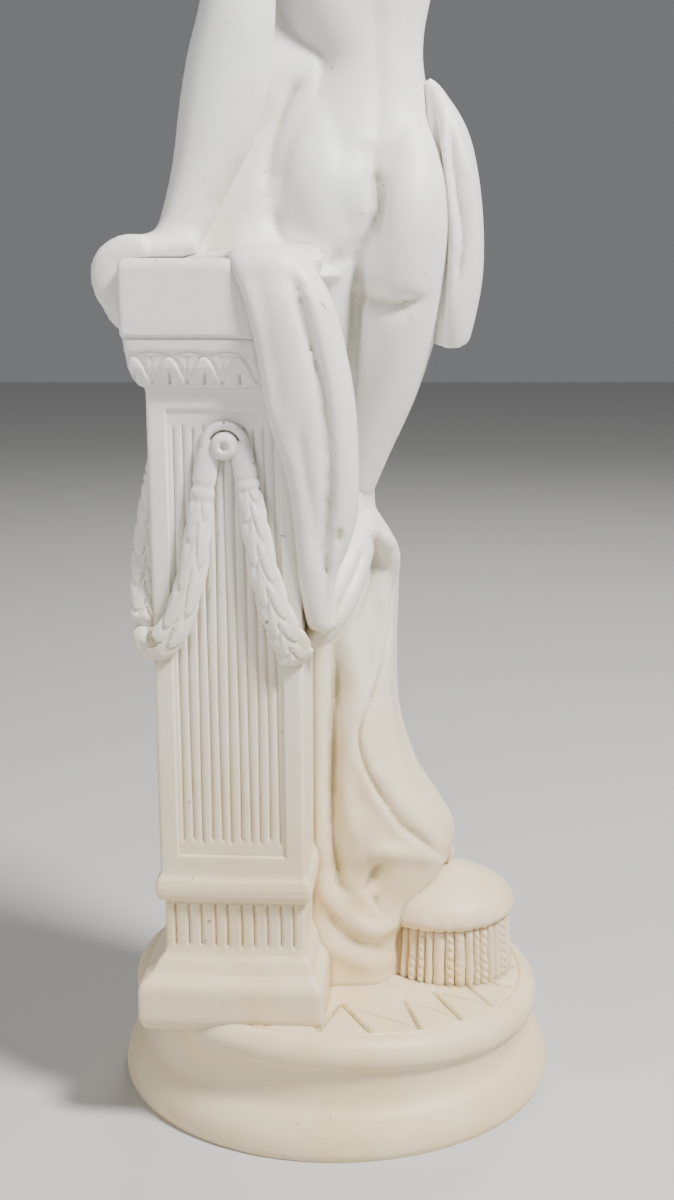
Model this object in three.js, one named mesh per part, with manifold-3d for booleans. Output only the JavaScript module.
// A marble statuette carved from one block: a half-draped classical figure, seen from behind at the
// part's front (-Y), who leans the left hand on a fluted, garlanded pillar and rests the right foot on a
// round tasselled stool, all on a round moulded base. Millimetres, +Z up, origin at the middle of the
// base's underside. The figure faces +Y, so the figure's left is -X.
import * as THREE from "three";
import { mergeVertices } from "three/addons/utils/BufferGeometryUtils.js";
import Module from "manifold-3d";

const wasm = await Module();
wasm.setup();

// ---------- driving dimensions ----------
const TURN = Math.PI * 2;

// round base
const BASE_R = 91;
const BASE_TOP_R = 86;
const BASE_WAIST_R = 82;
const DISC_Z = 48;
const DISC_GROOVE_R = 78.5;
const RIM_STROKES = 18;

// pillar: square in plan, standing near the left back of the disc and turned a little. It is modelled
// about its own upright axis, with its best face at -Y, and then put in place.
const PILLAR_X = -39.5;
const PILLAR_Y = -33.5;
const PILLAR_TURN = THREE.MathUtils.degToRad(-4);
const SHAFT_HALF = 28.5;
const CAP_HALF = 36.2;
const PLINTH_HALF = 36.6;
const DIE_HALF = 27.6;
const TORUS_HALF = 30.6;
const PILLAR_FOOT_Z = 44;
const PLINTH_TOP_Z = 63;
const DIE_Z = 73;
const TORUS_Z = 95;
const SHAFT_Z = 106;
const PANEL_LOW_Z = 114;
const PANEL_TOP_Z = 287;
const OVOLO_Z = 296;
const CAP_Z = 313.5;
const PILLAR_TOP_Z = 342;
const PANEL_HALF = 21;
const FLUTES = 10;
const FLUTE_STEP = 3.9;
const DIE_STEP = 5.2;
const OVOLO_LEAVES = 7;
const OVOLO_STEP = 8.6;
const ROSETTE_Z = 274;
const ROSETTE_R = 6.6;

// garland: each arm of leaves hangs from the rosette
const GARLAND_LEAVES = 8;
const GARLAND_THIN = 3.4;
const GARLAND_THICK = 6.6;

// stool
const STOOL_X = 45;
const STOOL_Y = 2;
const STOOL_R = 30;
const FRINGE_TOP_Z = 69;
const STOOL_TOP_Z = 87;
const CORDS = 18;

// figure
const HEAD = [7, 4];
const CHIN_Z = 561;
const EYE_Z = 598;
const CROWN_Z = 633;
const SKIRT_FOLDS = 9;
const CLOTH_TOP_Z = 498;
const CLOTH_THICK = 3.2;

// ---------- shared makers ----------

// Solid body from a three.js geometry.
function solid(geometry) {
  const bare = geometry.clone();
  bare.deleteAttribute("normal");
  bare.deleteAttribute("uv");
  const merged = mergeVertices(bare, 1e-4);
  const vertProperties = merged.attributes.position.array;
  const triVerts = new Uint32Array(merged.index.array);
  const mesh = new wasm.Mesh({ numProp: 3, vertProperties, triVerts });
  return new wasm.Manifold(mesh);
}

// Catmull-Rom value between rows of numbers, t from 0 at the first row to 1 at the last.
function rowAt(rows, t) {
  const place = t * (rows.length - 1);
  const i = Math.min(Math.floor(place), rows.length - 2);
  const f = place - i;
  const before = rows[Math.max(i - 1, 0)];
  const after = rows[Math.min(i + 2, rows.length - 1)];
  return rows[i].map((here, k) => {
    const next = rows[i + 1][k];
    const slopeHere = (next - before[k]) / 2;
    const slopeNext = (after[k] - here) / 2;
    const f2 = f * f;
    const f3 = f2 * f;
    const held = here * (2 * f3 - 3 * f2 + 1) + next * (3 * f2 - 2 * f3);
    return held + slopeHere * (f3 - 2 * f2 + f) + slopeNext * (f3 - f2);
  });
}

// Closed skin through rings of equal count; each ring runs counter-clockwise seen from the last ring.
function skin(rings) {
  const around = rings[0].length;
  const points = rings.flat();
  const faces = [];
  for (let i = 0; i < rings.length - 1; i += 1) {
    for (let j = 0; j < around; j += 1) {
      const a = i * around + j;
      const b = i * around + ((j + 1) % around);
      faces.push(a, b, b + around, a, b + around, a + around);
    }
  }
  const closeEnd = (start, facingBack) => {
    const middle = points.length;
    const sum = new THREE.Vector3();
    for (let j = 0; j < around; j += 1) {
      sum.add(points[start + j]);
    }
    points.push(sum.divideScalar(around));
    for (let j = 0; j < around; j += 1) {
      const a = start + j;
      const b = start + ((j + 1) % around);
      faces.push(...(facingBack ? [middle, b, a] : [middle, a, b]));
    }
  };
  closeEnd(0, true);
  closeEnd((rings.length - 1) * around, false);
  const geometry = new THREE.BufferGeometry();
  geometry.setAttribute("position", new THREE.Float32BufferAttribute(points.flatMap((p) => p.toArray()), 3));
  geometry.setIndex(faces);
  return geometry;
}

// Body with level rings. Rows hold [z, centre x, centre y, half width, half depth, lean], where lean is
// the rise of the ring per millimetre of x. shape(point, angle, t) may move each point.
function stacked(rows, around, steps, shape = () => {}) {
  const rings = [];
  for (let i = 0; i <= steps; i += 1) {
    const t = i / steps;
    const [z, cx, cy, halfX, halfY, lean = 0] = rowAt(rows, t);
    const ring = [];
    for (let j = 0; j < around; j += 1) {
      const angle = (j / around) * TURN;
      const dx = halfX * Math.cos(angle);
      const point = new THREE.Vector3(cx + dx, cy + halfY * Math.sin(angle), z + lean * dx);
      shape(point, angle, t);
      ring.push(point);
    }
    rings.push(ring);
  }
  return solid(skin(rings));
}

// Limb along a path. Rows hold [x, y, z, half across, half deep]; side is the rough direction of "across".
function limb(rows, side, around, steps, shape = () => {}) {
  const across = new THREE.Vector3(...side).normalize();
  const rings = [];
  for (let i = 0; i <= steps; i += 1) {
    const t = i / steps;
    const [x, y, z, a, b] = rowAt(rows, t);
    const ahead = rowAt(rows, Math.min(t + 0.01, 1));
    const behind = rowAt(rows, Math.max(t - 0.01, 0));
    const along = new THREE.Vector3(ahead[0] - behind[0], ahead[1] - behind[1], ahead[2] - behind[2]).normalize();
    const u = across.clone().addScaledVector(along, -across.dot(along)).normalize();
    const v = new THREE.Vector3().crossVectors(along, u);
    const ring = [];
    for (let j = 0; j < around; j += 1) {
      const angle = (j / around) * TURN;
      const point = new THREE.Vector3(x, y, z);
      point.addScaledVector(u, a * Math.cos(angle));
      point.addScaledVector(v, b * Math.sin(angle));
      shape(point, angle, t);
      ring.push(point);
    }
    rings.push(ring);
  }
  return solid(skin(rings));
}

// Soft bell of height 1 and the given reach.
function bell(distance, reach) {
  return Math.exp(-(distance * distance) / (reach * reach));
}

// Moves a point away from an upright axis by the sum of round swells [x, y, z, reach, rise].
function swell(point, axisX, axisY, spots) {
  const out = new THREE.Vector3(point.x - axisX, point.y - axisY, 0).normalize();
  let rise = 0;
  for (const [x, y, z, reach, height] of spots) {
    rise += height * bell(point.distanceTo(new THREE.Vector3(x, y, z)), reach);
  }
  point.addScaledVector(out, rise);
}

// Straight box between two corners.
function block(low, high) {
  const size = high.map((v, k) => v - low[k]);
  const box = new THREE.BoxGeometry(...size);
  box.translate(...low.map((v, k) => v + size[k] / 2));
  return solid(box);
}

// Round-ended rod from one point to another.
function rod(from, to, radius, sides = 6) {
  const start = new THREE.Vector3(...from);
  const end = new THREE.Vector3(...to);
  const way = end.clone().sub(start);
  const cylinder = new THREE.CylinderGeometry(radius, radius, way.length(), sides);
  const turn = new THREE.Quaternion().setFromUnitVectors(new THREE.Vector3(0, 1, 0), way.clone().normalize());
  cylinder.applyQuaternion(turn);
  const middle = start.add(end).multiplyScalar(0.5);
  cylinder.translate(middle.x, middle.y, middle.z);
  return solid(cylinder);
}

function joined(bodies) {
  return wasm.Manifold.union(bodies);
}

// three.js geometry of a body.
function geometryOf(body) {
  const mesh = body.getMesh();
  const geometry = new THREE.BufferGeometry();
  geometry.setAttribute("position", new THREE.Float32BufferAttribute(mesh.vertProperties, 3));
  geometry.setIndex(new THREE.Uint32BufferAttribute(mesh.triVerts, 1));
  return geometry;
}

// ---------- round base ----------
function makeBase() {
  const profile = [
    [0, 0],
    [BASE_R, 0],
    [BASE_R + 0.5, 6],
    [BASE_R - 3, 14],
    [BASE_WAIST_R, 20],
    [BASE_TOP_R - 2.5, 26],
    [BASE_TOP_R, 34],
    [BASE_TOP_R - 1.5, 42],
    [BASE_TOP_R - 4, 46.5],
    [DISC_GROOVE_R + 0.8, DISC_Z],
    [DISC_GROOVE_R, DISC_Z - 1],
    [DISC_GROOVE_R - 0.8, DISC_Z],
    [0, DISC_Z],
  ];
  const points = profile.map(([r, z]) => new THREE.Vector2(r, z));
  const lathe = new THREE.LatheGeometry(points, 44);
  lathe.rotateX(Math.PI / 2);
  const position = lathe.attributes.position;
  for (let i = 0; i < position.count; i += 1) {
    const high = THREE.MathUtils.smoothstep(position.getZ(i), 20, 34);
    position.setZ(i, position.getZ(i) + high * discDrop(position.getX(i), position.getY(i)));
  }
  return solid(lathe);
}

// The disc was cut by eye: it dips a little towards the stool.
function discDrop(x, y) {
  return -0.035 * x - 0.025 * (y + 40);
}

// Incised rim pattern: slanting strokes all round.
function makeRimStrokes() {
  const strokes = [];
  for (let i = 0; i < RIM_STROKES; i += 1) {
    const angle = (i / RIM_STROKES) * TURN;
    const ends = [
      [62, angle],
      [77, angle + 0.1],
    ].map(([r, a]) => {
      const x = r * Math.cos(a);
      const y = r * Math.sin(a);
      return [x, y, DISC_Z + 0.7 + discDrop(x, y)];
    });
    strokes.push(rod(ends[0], ends[1], 1.7, 4));
  }
  return joined(strokes);
}

// ---------- pillar ----------

// The pillar was cut by eye and drifts a little sideways as it rises.
function pillarLean(z) {
  if (z <= PLINTH_TOP_Z) {
    return 0;
  }
  if (z <= TORUS_Z) {
    return 1.3;
  }
  return 0.9 - (2.2 * (z - TORUS_Z)) / (PILLAR_TOP_Z - TORUS_Z);
}

function makePillar() {
  const corner = Math.SQRT2;
  const profile = [
    [0, PILLAR_FOOT_Z],
    [PLINTH_HALF - 0.6, PILLAR_FOOT_Z],
    [PLINTH_HALF, PLINTH_TOP_Z],
    [DIE_HALF + 0.4, DIE_Z],
    [DIE_HALF, TORUS_Z],
    [TORUS_HALF - 0.3, TORUS_Z + 0.7],
    [TORUS_HALF, TORUS_Z + 5.5],
    [TORUS_HALF - 1, SHAFT_Z - 1],
    [SHAFT_HALF, SHAFT_Z],
    [SHAFT_HALF + 0.3, OVOLO_Z - 4],
    [SHAFT_HALF + 2, OVOLO_Z],
    [SHAFT_HALF + 5.2, OVOLO_Z + 7],
    [CAP_HALF - 2, CAP_Z - 5.5],
    [CAP_HALF - 0.8, CAP_Z - 1],
    [CAP_HALF, CAP_Z],
    [CAP_HALF, PILLAR_TOP_Z - 1.5],
    [CAP_HALF - 1.5, PILLAR_TOP_Z],
    [0, PILLAR_TOP_Z],
  ];
  const points = profile.map(([half, z]) => new THREE.Vector2(half * corner, z));
  const lathe = new THREE.LatheGeometry(points, 4, Math.PI / 4);
  lathe.rotateX(Math.PI / 2);
  const position = lathe.attributes.position;
  for (let i = 0; i < position.count; i += 1) {
    position.setX(i, position.getX(i) + pillarLean(position.getZ(i)));
  }
  return solid(lathe);
}

// Cuts on the best face: a recessed panel with flutes, and short flutes on the die.
function makeFaceCuts() {
  const low = [pillarLean(PANEL_LOW_Z) - PANEL_HALF, -SHAFT_HALF - 2, PANEL_LOW_Z];
  const high = [pillarLean(PANEL_TOP_Z) + PANEL_HALF + 1, -SHAFT_HALF + 1.1, PANEL_TOP_Z];
  const cuts = [block(low, high)];
  for (let i = 0; i < FLUTES; i += 1) {
    const place = i - (FLUTES - 1) / 2;
    const foot = [place * FLUTE_STEP + pillarLean(PANEL_LOW_Z), -SHAFT_HALF + 0.9, PANEL_LOW_Z + 5];
    const head = [place * FLUTE_STEP + pillarLean(PANEL_TOP_Z), -SHAFT_HALF + 0.9, PANEL_TOP_Z - 4];
    cuts.push(rod(foot, head, 1.1, 4));
    const dieX = place * DIE_STEP + pillarLean(DIE_Z);
    cuts.push(rod([dieX, -DIE_HALF - 0.2, DIE_Z + 2.5], [dieX, -DIE_HALF - 0.2, TORUS_Z - 2.5], 1.2, 4));
  }
  return joined(cuts);
}

// Incised line under the cap and the row of pointed leaves on the ovolo.
function makeCapCuts() {
  const lean = pillarLean(CAP_Z);
  const reach = CAP_HALF * 1.03;
  const cuts = [rod([lean - reach, -CAP_HALF, CAP_Z], [lean + reach, -CAP_HALF, CAP_Z], 0.8, 4)];
  for (let i = 0; i <= OVOLO_LEAVES; i += 1) {
    const x = lean + (i - OVOLO_LEAVES / 2) * OVOLO_STEP;
    cuts.push(rod([x, -SHAFT_HALF - 1.4, OVOLO_Z + 1], [x, -CAP_HALF + 1, CAP_Z - 7], 0.8, 4));
  }
  return joined(cuts);
}

// ---------- rosettes and garland ----------
function makeRosette(x, y, faceAngle) {
  const ring = new THREE.CylinderGeometry(ROSETTE_R * 0.85, ROSETTE_R, 6, 10);
  const button = new THREE.SphereGeometry(ROSETTE_R * 0.78, 8, 4);
  button.scale(1, 0.6, 1);
  button.translate(0, 3, 0);
  const hole = new THREE.CylinderGeometry(1.8, 1.8, 8, 6);
  hole.translate(0, 5.5, 0);
  for (const piece of [ring, button, hole]) {
    piece.rotateX(Math.PI / 2);
    piece.rotateZ(faceAngle);
    piece.translate(x, y, ROSETTE_Z);
  }
  return joined([solid(ring), solid(button)]).subtract(solid(hole));
}

// One arm of the garland: a festoon whose girth swells towards the low end and steps in at every leaf row.
function makeGarlandArm(path) {
  const steps = GARLAND_LEAVES * 2;
  const rows = path.map(([x, y, z], k) => {
    const girth = THREE.MathUtils.lerp(GARLAND_THIN, GARLAND_THICK, k / (path.length - 1));
    return [x, y, z, girth * 0.75, girth];
  });
  return limb(rows, [0, 1, 0], 6, steps, (point, angle, t) => {
    const [x, y, z] = rowAt(rows, t);
    const middle = new THREE.Vector3(x, y, z);
    const leafEnd = Math.round(t * steps) % 2 === 0;
    point.lerp(middle, leafEnd ? 0.16 : 0);
  });
}

function makeGarlands() {
  const face = SHAFT_HALF;
  const inward = [
    [-6, -face, 272],
    [-8.5, -face - 0.5, 252],
    [-11, -face - 1.5, 229],
    [-18, -face - 2, 208],
    [-25, -face - 0.5, 200],
    [-face + 0.5, -face + 5, 204],
  ];
  const outward = [
    [6, -face, 272],
    [9.5, -face - 0.5, 256],
    [13, -face - 1.5, 236],
    [18.5, -face - 2, 214],
    [26.5, -face - 0.5, 199],
  ];
  const sideNear = [
    [-face + 0.5, -8, 270],
    [-face - 1.2, -14.5, 250],
    [-face - 2.8, -20.5, 226],
    [-face - 0.6, -face + 4, 204],
  ];
  const sideFar = sideNear.map(([x, y, z]) => [x, -y, z]);
  const arms = [inward, outward, sideNear, sideFar].map(makeGarlandArm);
  const knobs = [makeRosette(0, -face, 0), makeRosette(-face + 0.4, 0, -Math.PI / 2)];
  return joined([...arms, ...knobs]);
}

// The finished pillar, turned and moved to its place on the disc.
function placePillar() {
  const carved = makePillar().subtract(makeFaceCuts()).subtract(makeCapCuts()).add(makeGarlands());
  const geometry = geometryOf(carved);
  geometry.rotateZ(PILLAR_TURN);
  geometry.translate(PILLAR_X, PILLAR_Y, 0);
  return solid(geometry);
}

// ---------- tasselled stool ----------
function makeStool() {
  const rows = [
    [DISC_Z - 2, STOOL_R - 1],
    [DISC_Z + 2, STOOL_R],
    [FRINGE_TOP_Z - 4, STOOL_R - 0.5],
    [FRINGE_TOP_Z, STOOL_R - 1.5],
    [FRINGE_TOP_Z + 1, STOOL_R + 0.4],
    [STOOL_TOP_Z - 13, STOOL_R - 1.5],
    [STOOL_TOP_Z - 7.5, STOOL_R - 7.5],
    [STOOL_TOP_Z - 2.5, STOOL_R - 17],
    [STOOL_TOP_Z, STOOL_R - 27],
  ];
  const around = CORDS * 2;
  const rings = rows.map(([z, radius], level) => {
    const ring = [];
    for (let j = 0; j < around; j += 1) {
      const angle = (j / around) * TURN;
      const cord = level < 3 && j % 2 === 0 ? 2 : 0;
      const r = radius - cord;
      ring.push(new THREE.Vector3(STOOL_X + r * Math.cos(angle), STOOL_Y + r * Math.sin(angle), z));
    }
    return ring;
  });
  return solid(skin(rings));
}

// ---------- the figure's body ----------
function makeTorso() {
  const rows = [
    [336, 8, 3, 30, 22, -0.15],
    [352, 9, 1, 34, 27, -0.15],
    [368, 9, 0.5, 34.5, 28, -0.12],
    [385, 10, 1, 31.5, 25, -0.08],
    [402, 10, 1, 26.5, 20, -0.03],
    [418, 11, 1, 22.4, 18, 0],
    [437, 8, 1, 27, 19, 0],
    [456, 7, 1, 30.5, 21, -0.03],
    [478, 7, 1, 33, 22.5, -0.06],
    [500, 8, 1, 36, 23, -0.1],
    [520, 8, -1, 37, 20, -0.15],
    [534, 8, -3, 32, 16.5, -0.16],
    [543, 8, -3, 20, 13.5, -0.1],
    [550, 7, -2, 12.5, 12.5, 0],
    [562, 7, 0, 11.5, 12, 0],
    [576, 7, 2, 11.5, 12, 0],
  ];
  const spots = [
    [-11, 20, 496, 13, 5],
    [25, 20, 492, 13, 5],
    [-12, -22, 512, 14, 2.5],
    [30, -22, 506, 14, 2.5],
    [9, -24, 470, 8, -2],
    [9, -24, 440, 8, -2],
    [9, -24, 500, 8, -2],
  ];
  return stacked(rows, 20, 18, (point, angle) => {
    swell(point, 8, 1, spots);
    coverFront(point, angle);
  });
}

// Cloth that covers the front of the body up to the chest: it stands off the skin in slanting folds.
function coverFront(point, angle) {
  const front = Math.sin(angle);
  if (front < 0.2 || point.z > CLOTH_TOP_Z) {
    return;
  }
  point.y += CLOTH_THICK + 1.5 * front * Math.cos(angle * 6 + point.z * 0.06);
}

function makeLegs() {
  const right = [
    [22, -2, 398, 10, 12],
    [25.5, -4, 378, 18, 21],
    [26, -6, 358, 20, 26.5],
    [25, -5, 338, 19, 25],
    [22.5, -1, 314, 17.2, 21],
    [18.5, 4, 292, 14.5, 18],
    [9, 11, 266, 13, 16],
    [0, 20, 240, 12, 14],
  ];
  const left = [
    [-3, -2, 404, 10, 12],
    [-6, -4, 386, 17, 20],
    [-6, -6, 368, 19.8, 26],
    [-5.5, -5, 350, 19, 25],
    [-6, -1, 326, 17, 21],
    [-8, 3, 296, 16, 19],
    [-9, 9, 256, 14, 16],
    [-9, 13, 215, 12, 13],
  ];
  return joined([limb(right, [-1, 0, 0], 12, 9), limb(left, [-1, 0, 0], 12, 8)]);
}

function makeLeftArm() {
  const arm = [
    [-16, -4, 534, 12, 12],
    [-26, -6, 529, 14.5, 14],
    [-32, -9, 516, 14.5, 14.5],
    [-34.5, -14, 494, 13, 14],
    [-36, -20, 466, 12.5, 13],
    [-36.5, -27, 436, 14, 13],
    [-40, -29, 413, 16, 13],
    [-44, -31, 393, 15.5, 12.5],
    [-51, -34, 371, 11.5, 10.5],
    [-58, -37, 353, 9, 9],
    [-62, -39, 347, 8, 9],
  ];
  return limb(arm, [-1, 0, 0], 11, 13);
}

// The left hand lies on the pillar and its fingers bend over the pillar's left edge.
function makeLeftHand() {
  const palm = [
    [-54, -39, 347, 9, 4],
    [-62, -39, 347, 11, 4.6],
    [-72, -39.5, 345.5, 13, 4.4],
    [-79, -40, 344.5, 12.5, 3.6],
  ];
  const pieces = [limb(palm, [0, 1, 0], 8, 4)];
  for (let i = 0; i < 4; i += 1) {
    const y = -49.5 + i * 6.6;
    const reach = [316, 313, 312, 316][i];
    const finger = [
      [-72, y, 345, 3.6, 3.6],
      [-80.5, y, 345.5, 3.6, 3.8],
      [-86.5, y + 0.3, 340, 3.5, 3.6],
      [-87, y + 0.6, 329, 3.3, 3.4],
      [-83.5, y + 1, reach + 5, 3, 3.1],
      [-80.5, y + 1, reach, 1.8, 1.8],
    ];
    pieces.push(limb(finger, [0, 1, 0], 5, 5));
  }
  const thumb = [
    [-56, -30, 347, 4, 4],
    [-62, -23, 347, 4, 4.5],
    [-70, -18, 345.5, 3.6, 4],
    [-77, -17, 344.5, 2, 2.4],
  ];
  pieces.push(limb(thumb, [0, 1, 0], 5, 3));
  return joined(pieces);
}

// The right arm comes forward and the hand holds the cloth against the chest.
function makeRightArm() {
  const arm = [
    [31, -4, 525, 12, 12],
    [40, -1, 517, 14, 14],
    [46, 7, 501, 13.5, 13.5],
    [48.5, 17, 487, 12.5, 12.5],
    [50, 28, 474, 11.5, 11.5],
    [47, 38, 465, 11, 11],
    [36, 41, 468, 10, 10.5],
    [22, 40, 476, 8.5, 9],
    [10, 39, 484, 6.5, 8],
  ];
  const back = [
    [12, 39, 483, 6, 8],
    [3, 38, 489, 5.5, 9.5],
    [-5, 36, 493, 5, 9.5],
    [-10, 34, 494, 3.5, 8],
  ];
  const pieces = [limb(arm, [0, 1, 0], 10, 10), limb(back, [0, 1, 0.3], 6, 3)];
  for (let i = 0; i < 4; i += 1) {
    const z = 500 - i * 4.8;
    const finger = [
      [-6, 38, z + 1, 2.6, 2.6],
      [-13, 36.5, z, 2.6, 2.6],
      [-19, 31, z - 1.5, 2.4, 2.5],
      [-20, 26, z - 3, 1.8, 2],
    ];
    pieces.push(limb(finger, [0, 0, 1], 5, 3));
  }
  return joined(pieces);
}

// ---------- head ----------
function makeHead() {
  const [hx, hy] = HEAD;
  const rows = [
    [CHIN_Z, hx, hy + 15, 5, 6],
    [CHIN_Z + 3, hx, hy + 12, 10.5, 13],
    [CHIN_Z + 10, hx, hy + 8, 15.5, 18.5],
    [CHIN_Z + 20, hx, hy + 3.5, 19, 22.5],
    [CHIN_Z + 31, hx, hy + 1, 20.5, 25.5],
    [CHIN_Z + 42, hx, hy - 1, 21.5, 27.5],
    [CHIN_Z + 53, hx, hy - 2, 21, 27],
    [CHIN_Z + 63, hx, hy - 3, 18, 23],
    [CROWN_Z - 3, hx, hy - 3, 12, 15.5],
    [CROWN_Z, hx, hy - 3, 3, 4],
  ];
  const spots = [
    [hx, hy + 27, EYE_Z - 4, 4, 1.8],
    [hx, hy + 28, EYE_Z - 9, 4.2, 3.2],
    [hx, hy + 28, EYE_Z - 13, 4.2, 3.2],
    [hx, hy + 27, EYE_Z - 23, 5, 1.6],
    [hx, hy + 27, EYE_Z - 34, 5, 1.4],
    [hx - 8, hy + 26, EYE_Z, 4.6, -2.6],
    [hx + 8, hy + 26, EYE_Z, 4.6, -2.6],
  ];
  return stacked(rows, 16, 16, (point) => swell(point, hx, hy, spots));
}

// Waved hair parted over the brow, gathered in a low knot, with a plain band.
function makeHair() {
  const [hx, hy] = HEAD;
  const rows = [
    [581, hx, hy - 14, 15, 12],
    [588, hx, hy - 10, 21, 18],
    [597, hx, hy - 6, 24, 24],
    [608, hx, hy - 4.5, 25, 27.5],
    [618, hx, hy - 4, 23.5, 27],
    [628, hx, hy - 4, 18, 21],
    [636, hx, hy - 4, 9, 11],
    [638, hx, hy - 4, 2, 2.5],
  ];
  const cap = stacked(rows, 18, 7, (point, angle) => {
    const wave = 0.9 * Math.cos(angle * 9 + point.z * 0.25);
    const out = new THREE.Vector3(point.x - hx, point.y - hy, 0).normalize();
    point.addScaledVector(out, wave);
  });
  const knot = new THREE.SphereGeometry(1, 8, 5);
  knot.scale(12, 10, 11);
  knot.translate(hx, hy - 33, 594);
  return joined([cap, solid(knot)]);
}

// ---------- cloth ----------

// Cloth that hangs before the thighs, from the belly to the knees.
function makeFrontCloth() {
  const rows = [
    [222, -2, 19, 22, 26],
    [242, -5, 20, 21, 24],
    [262, -4, 20, 21, 21],
    [280, -1, 17, 25, 21],
    [296, 2, 15, 29, 22],
    [312, 6, 14, 31, 21],
    [330, 8, 13, 33, 20.5],
    [346, 8, 12, 33, 20.5],
  ];
  return stacked(rows, 20, 6, (point, angle) => {
    const front = Math.max(0, Math.sin(angle));
    point.y += front * 1.8 * Math.cos(angle * 6 + point.z * 0.06);
  });
}

// Cloth gathered at the right hip and hanging to the middle of the thigh.
function makeHipCloth() {
  const rows = [
    [34, 4, 405, 4, 10],
    [38.5, 1, 399, 6, 13],
    [42.5, -2, 385, 10, 17],
    [45, -3, 362, 12, 18],
    [46, -2, 338, 12, 18],
    [45.5, 0, 320, 10, 16],
    [45.5, 2, 309, 7.5, 13],
  ];
  return limb(rows, [-1, 0, 0], 16, 7, (point, angle) => {
    const ripple = 1.1 * Math.cos(angle * 5 + 0.6);
    point.x += ripple * Math.cos(angle);
    point.y += ripple * Math.sin(angle);
  });
}

// Cloth over the pillar's top and down its front right corner, in two broad folds that narrow to a tip.
function makePillarCloth() {
  const levels = [
    [346, -40, -14, -60],
    [343, -40, -10, -68],
    [330, -33, -4, -73],
    [312, -28, 2, -74],
    [296, -25.5, 5, -72.5],
    [278, -21, 6.5, -70],
    [262, -17.5, 7.5, -69],
    [248, -14.5, 8, -68],
    [236, -10, 6, -65],
    [226, -3, 2, -60],
  ];
  const rings = [];
  const steps = 10;
  for (let i = 0; i <= steps; i += 1) {
    const [z, left, right, front] = rowAt(levels, 1 - i / steps);
    const wide = right - left;
    const ring = [];
    const inside = 8;
    for (let j = 0; j <= 12; j += 1) {
      const s = j / 12;
      const fold = 1.6 * Math.cos(s * TURN * 2.2 + 2.6);
      const corner = Math.max(0, s - 0.62) / 0.38;
      ring.push(new THREE.Vector3(left + wide * s, front + 16 * corner * corner + fold, z));
    }
    const back = Math.min(-18, front + 48);
    ring.push(new THREE.Vector3(right, -44, z));
    ring.push(new THREE.Vector3(right - 1.5, -32, z));
    ring.push(new THREE.Vector3(right - 4, back, z));
    ring.push(new THREE.Vector3(Math.min(right - 8, -10), back, z));
    ring.push(new THREE.Vector3(Math.min(left + inside, right - 10), -56, z));
    rings.push(ring);
  }
  return solid(skin(rings));
}

// Low mound of cloth on the pillar's top, from the body to the left hand.
function makeTopCloth() {
  const rows = [
    [-10, -38, 341, 26, 7],
    [-22, -36, 342, 26, 4.6],
    [-36, -34, 342, 25, 3.4],
    [-50, -32, 341.5, 22, 2.4],
    [-58, -32, 341, 14, 1],
  ];
  return limb(rows, [0, 1, 0], 10, 5);
}

// Web of stone left between the left arm and the body.
function makeWeb() {
  const outline = new THREE.Shape();
  outline.moveTo(-60, 338);
  outline.lineTo(-4, 338);
  outline.lineTo(-6, 400);
  outline.lineTo(-20, 424);
  outline.lineTo(-32, 412);
  outline.closePath();
  const slab = new THREE.ExtrudeGeometry(outline, { depth: 18, bevelEnabled: false });
  slab.rotateX(Math.PI / 2);
  slab.translate(0, 10, 0);
  return solid(slab);
}

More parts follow.
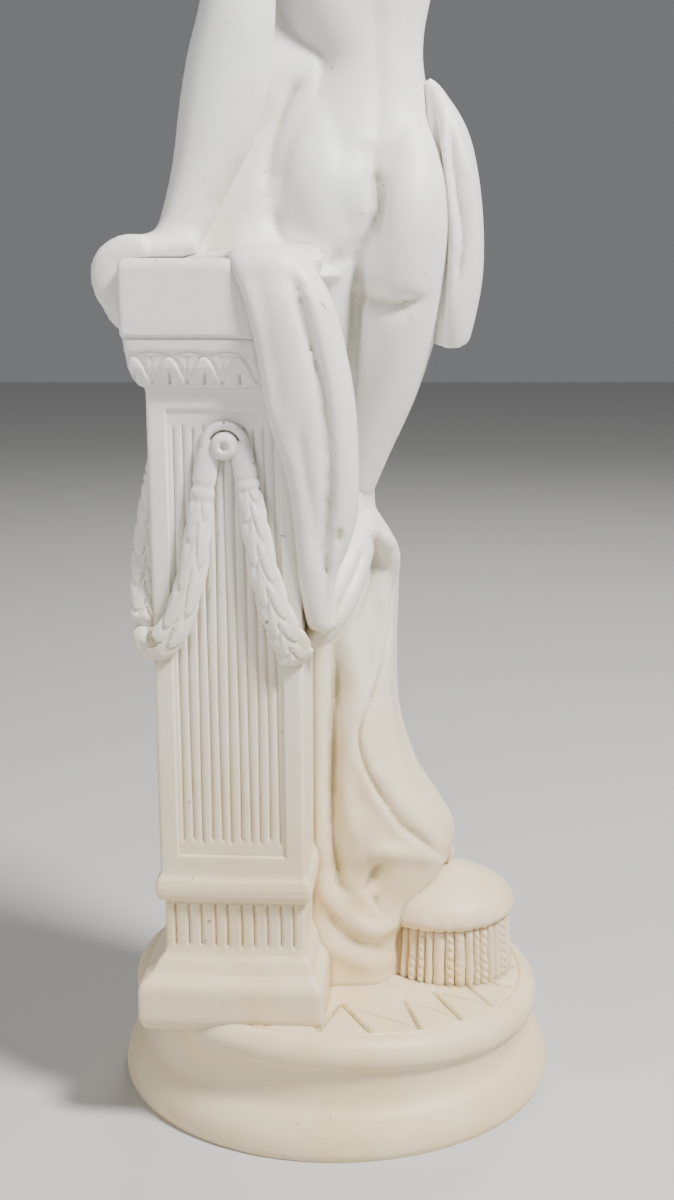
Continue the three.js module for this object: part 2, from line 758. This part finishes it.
// Long skirt from the knees to the disc: deep folds that fan out towards the hem.
function makeSkirt() {
  const rows = [
    [DISC_Z - 2, -2, 6, 30, 43],
    [62, -1, 7, 30.5, 42],
    [78, 3, 7, 34, 39],
    [92, 10, 8, 40, 37],
    [104, 10.5, 8, 39.5, 36],
    [116, 7, 9, 36.5, 35],
    [132, 2.5, 10, 31, 33.5],
    [156, -0.5, 11, 27, 32],
    [185, -1, 12, 26.5, 31],
    [208, -0.5, 13, 26.5, 31],
    [224, -1, 13, 26, 31.5],
    [236, -3.5, 15, 22, 28],
    [246, -6, 18, 17, 24],
  ];
  const around = 36;
  return stacked(rows, around, 11, (point, angle, t) => {
    const depth = THREE.MathUtils.lerp(3.4, 1.2, t);
    const sway = point.z * 0.012 + 0.7 * Math.sin(point.z * 0.022);
    const fold = depth * Math.cos(angle * SKIRT_FOLDS + sway * 3);
    const out = new THREE.Vector3(Math.cos(angle), Math.sin(angle), 0);
    point.addScaledVector(out, fold - depth * 0.7);
  });
}

// Thick fold from the knee that droops to the pillar's right edge.
function makeKneeFold() {
  const roll = [
    [-6, 0, 234, 6, 8],
    [5, -10, 233, 7.5, 9],
    [14, -10, 229, 9, 9],
    [18.5, -2, 223, 8, 9],
    [17, 10, 220, 5, 8],
  ];
  const droop = [
    [9, -16, 238, 5, 6],
    [4, -26, 229, 8, 10],
    [0, -35, 216, 8.5, 13],
    [-4, -42, 205, 7, 12],
    [-8, -46, 197, 4, 7],
  ];
  return joined([limb(roll, [0, 0, 1], 8, 6), limb(droop, [1, 0, 0], 8, 5)]);
}

// Toes that show under the cloth in front: the left foot on the disc, the right foot on the stool.
function makeFeet() {
  const left = [
    [-10, 34, 52, 9, 6],
    [-11, 46, 54, 9, 7],
    [-12, 56, 52, 9, 5],
    [-13, 63, 50.5, 8, 3],
    [-13, 67, 50, 5, 1.5],
  ];
  const right = left.map(([x, y, z, a, b]) => [x + 52, y - 36, z + 40, a, b]);
  return joined([limb(left, [-1, 0, 0], 8, 4), limb(right, [-1, 0, 0], 8, 4)]);
}

// ---------- the one carved piece ----------
const stone = new THREE.MeshStandardMaterial({ color: 0xe9e3d6, roughness: 0.42, metalness: 0 });

const carved = joined([
  makeBase().subtract(makeRimStrokes()),
  placePillar(),
  makeStool(),
  makeTorso(),
  makeLegs(),
  makeLeftArm(),
  makeLeftHand(),
  makeRightArm(),
  makeHead(),
  makeHair(),
  makeFrontCloth(),
  makeHipCloth(),
  makePillarCloth(),
  makeTopCloth(),
  makeWeb(),
  makeSkirt(),
  makeKneeFold(),
  makeFeet(),
]);

// Stone is solid: hollows that the overlapping bodies close off inside are filled.
const whole = carved.decompose().reduce((most, body) => (body.volume() > most.volume() ? body : most));
const statue = new THREE.Mesh(geometryOf(whole), stone);
statue.geometry.computeVertexNormals();
statue.name = "statue";

const group = new THREE.Group();
group.name = "classical_statue";
group.add(statue);

export default group;
